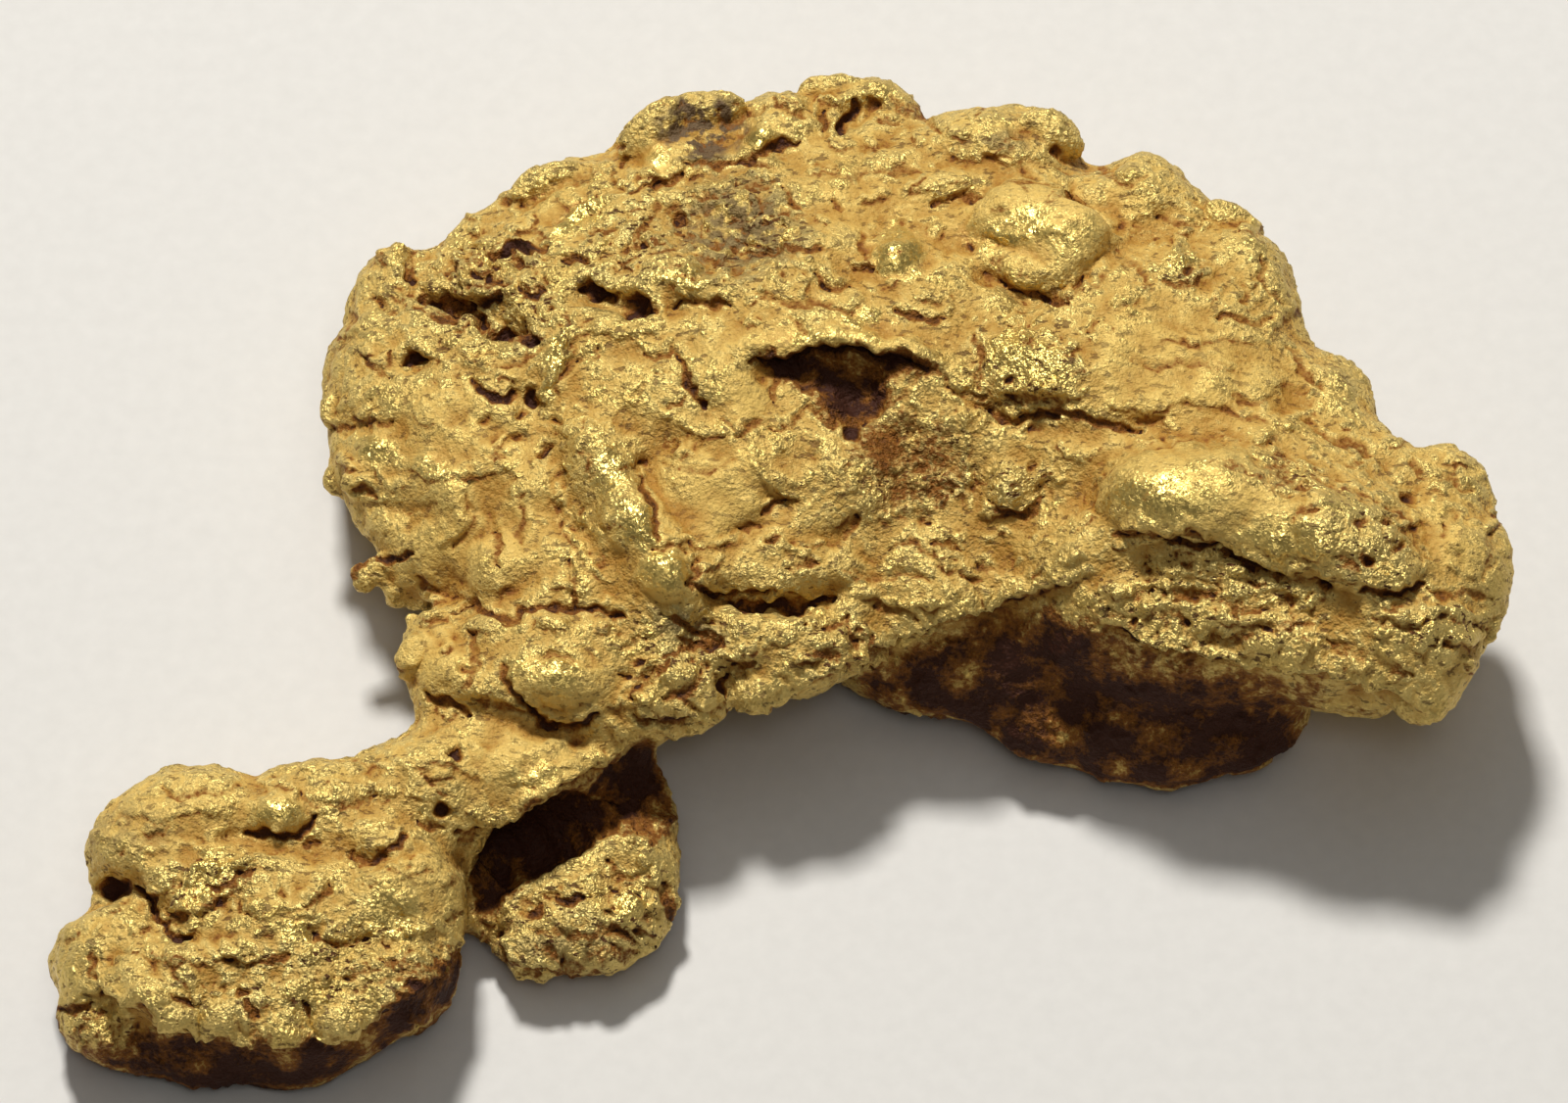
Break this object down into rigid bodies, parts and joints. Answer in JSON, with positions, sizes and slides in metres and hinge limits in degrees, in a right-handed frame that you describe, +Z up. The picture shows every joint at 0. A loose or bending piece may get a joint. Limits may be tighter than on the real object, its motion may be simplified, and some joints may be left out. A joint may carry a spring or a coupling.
{
  "type": "gold nugget",
  "caption": "Flattened natural gold nugget: one lumpy mass of fused knobs, ledges and pits, with a raised rounded ridge on one side and a narrow neck to a smaller toe lobe on the other.",
  "frame": {"origin": "centre of the nugget's bounding box in X and Y, at the height of the table it rests on", "axes": "+Z up from the table, +X along the longest extent towards the tip at the right of the picture, +Y towards the rounded back rim"},
  "size_m": [0.0887, 0.0663, 0.0189],
  "materials": {
    "native_gold": "satin"
  },
  "bodies": {
    "root": {"nugget": "native_gold"}
  },
  "joints": []
}
